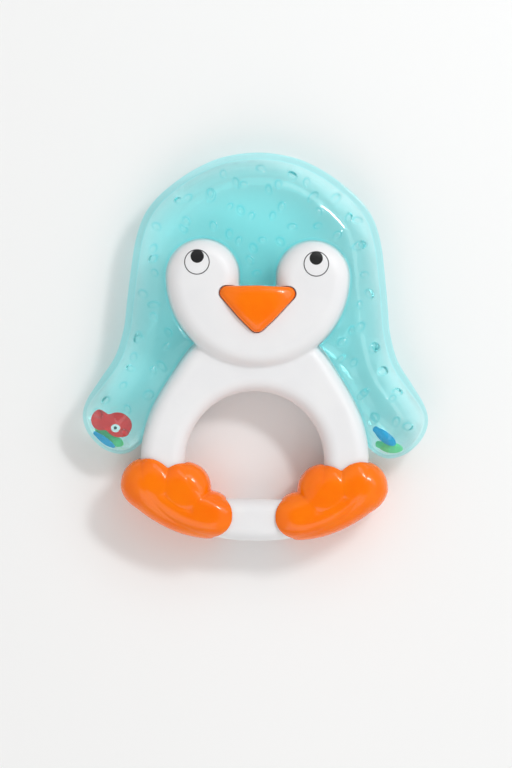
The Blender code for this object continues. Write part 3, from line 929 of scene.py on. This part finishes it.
def tailed_shape(at, turn, level, length, width, thick):
    def shape(x, y, z):
        u, v = placed(x, y, at, turn)
        w = z - level
        body = ball(u, v, w, (0.03 * length, 0, 0), (0.46 * length, 0.5 * width, thick))
        fin = ball(u, v, w, (-0.42 * length, 0, 0), (0.08 * length, 0.28 * width, 0.5 * thick))
        return smin(body, fin, 0.7)
    return shape


FISH = [
    # node, body, look, its shape's values, slot
    ("red_fish", "red_float", RED, (-42.2, -22.7, -9, P + 0.65), (), "red_float"),
    ("left_blue_fish", "left_blue_float", BLUE, (-43.7, -27.65, -35, P - 0.65), (7.6, 2.3, 0.55), "blue_float"),
    ("left_green_fish", "left_green_float", GREEN, (-42.2, -26.4, -35, P - 1.85), (9.2, 3.7, 0.55), "green_float"),
    ("right_blue_fish", "right_blue_float", BLUE, (37.6, -25.3, -39, P + 2.1), (8.0, 3.2, 0.9), "blue_float"),
    ("right_green_fish", "right_green_float", GREEN, (39.1, -28.2, -12, P - 0.8), (7.8, 3.5, 0.9), "green_float"),
]
for node, body, mat, (x, y, turn, level), size, slot in FISH:
    shape = tailed_shape((x, y), turn, level, *size) if size else red_shape((x, y), turn, level)
    pts, quads = net(shape, (x - 8, y - 8, level - 1.6), (x + 8, y + 8, level + 1.6), 0.24)
    wear(mesh_object(node + "_visual", pts, quads), mat, slot, body, node)

# the red fish's eye: a pale disc with a dark dot, pressed into its side
ex, ey, ez = -40.4, -24.0, P + 0.65 + 0.6
for name, r, top, mat in (("red_fish_eye", 1.25, 0.16, WHITE_INK), ("red_fish_pupil", 0.5, 0.27, BLACK_INK)):
    centre = (ex, ey, ez)
    pts, quads = net(lambda x, y, z: ball(x, y, z, centre, (r, r, top)),
                     (ex - 1.6, ey - 1.6, centre[2] - 0.6), (ex + 1.6, ey + 1.6, centre[2] + 0.6), 0.09)
    wear(mesh_object(name, pts, quads), mat, None, "red_float")

# ---- stage ------------------------------------------------------------------------------
bpy.ops.mesh.primitive_plane_add(size=6.0, location=(0, 0, -0.0002))
floor = bpy.context.object
floor.name = "floor"
paper = Look("paper", (0.9, 0.9, 0.9), 0.7, Specular_IOR_Level=0.2)
paper.link(paper.mix(paper.ramp(paper.noise(3.0, 2.0), 0.3, 0.7, 0, 1), (0.885, 0.89, 0.89), (0.905, 0.905, 0.905)),
           paper.shader.inputs["Base Color"])
floor.data.materials.append(paper.mat)

world = bpy.data.worlds.new("studio")
bpy.context.scene.world = world
world.use_nodes = True
sky = world.node_tree
split = sky.nodes.new("ShaderNodeSeparateXYZ")
coords = sky.nodes.new("ShaderNodeTexCoord")
ramp = sky.nodes.new("ShaderNodeValToRGB")
ramp.color_ramp.elements[0].position = 0.0
ramp.color_ramp.elements[0].color = (0.9, 0.885, 0.87, 1)
for at, value in ((0.3, 0.8), (0.6, 0.95), (0.85, 0.9), (0.96, 0.3)):
    ramp.color_ramp.elements.new(at).color = (value, 0.985 * value, 0.968 * value, 1)
ramp.color_ramp.elements[-1].color = (0.25, 0.25, 0.25, 1)
sky.links.new(coords.outputs["Generated"], split.inputs[0])
sky.links.new(split.outputs["Z"], ramp.inputs["Fac"])
sky.links.new(ramp.outputs["Color"], sky.nodes["Background"].inputs["Color"])
sky.nodes["Background"].inputs["Strength"].default_value = 0.71


def area_light(name, place, aim, size, power, colour=(1, 1, 1), size_y=None):
    data = bpy.data.lights.new(name, "AREA")
    data.shape = "RECTANGLE"
    data.size, data.size_y = size, size_y or size
    data.energy = power
    data.color = colour
    obj = bpy.data.objects.new(name, data)
    bpy.context.scene.collection.objects.link(obj)
    obj.location = place
    obj.rotation_euler = (Vector(aim) - Vector(place)).to_track_quat("-Z", "Y").to_euler()
    return obj


key = area_light("key", (0.43, 0.43, 0.67), (0, 0, 0), 0.2, 2.4, (0.965, 0.99, 1.0), size_y=0.1)
turn = (Vector((1, -1, 0)).normalized(), Vector((0.43, 0.43, 0.67)).normalized())
key.rotation_euler = Matrix((turn[0], turn[1].cross(turn[0]), turn[1])).transposed().to_euler()
panel = area_light("panel", (0.5, 0.5, 0.62), (0, 0, 0), 1.1, 2.05, (0.965, 0.99, 1.0), size_y=0.35)
turn = (Vector((1, -1, 0)).normalized(), Vector((0.5, 0.5, 0.62)).normalized())
panel.rotation_euler = Matrix((turn[0], turn[1].cross(turn[0]), turn[1])).transposed().to_euler()
area_light("low_fill", (-0.1, -0.7, 0.75), (0, 0, 0), 0.9, 2.6)


camera_data = bpy.data.cameras.new("camera")
camera = bpy.data.objects.new("camera", camera_data)
bpy.context.scene.collection.objects.link(camera)
camera_data.sensor_fit = "VERTICAL"
camera_data.sensor_height = 24.0
DISTANCE = 1.2
camera_data.lens = 24.0 * DISTANCE / (768 * 0.29 * MM)
camera_data.clip_start, camera_data.clip_end = 0.01, 20
camera.location = (0.0, -0.0109, 0.012 + DISTANCE)
camera.rotation_euler = (0, 0, math.radians(0.95))
bpy.context.scene.camera = camera
bpy.context.scene.view_settings.view_transform = "Standard"
bpy.context.scene.view_settings.look = "None"
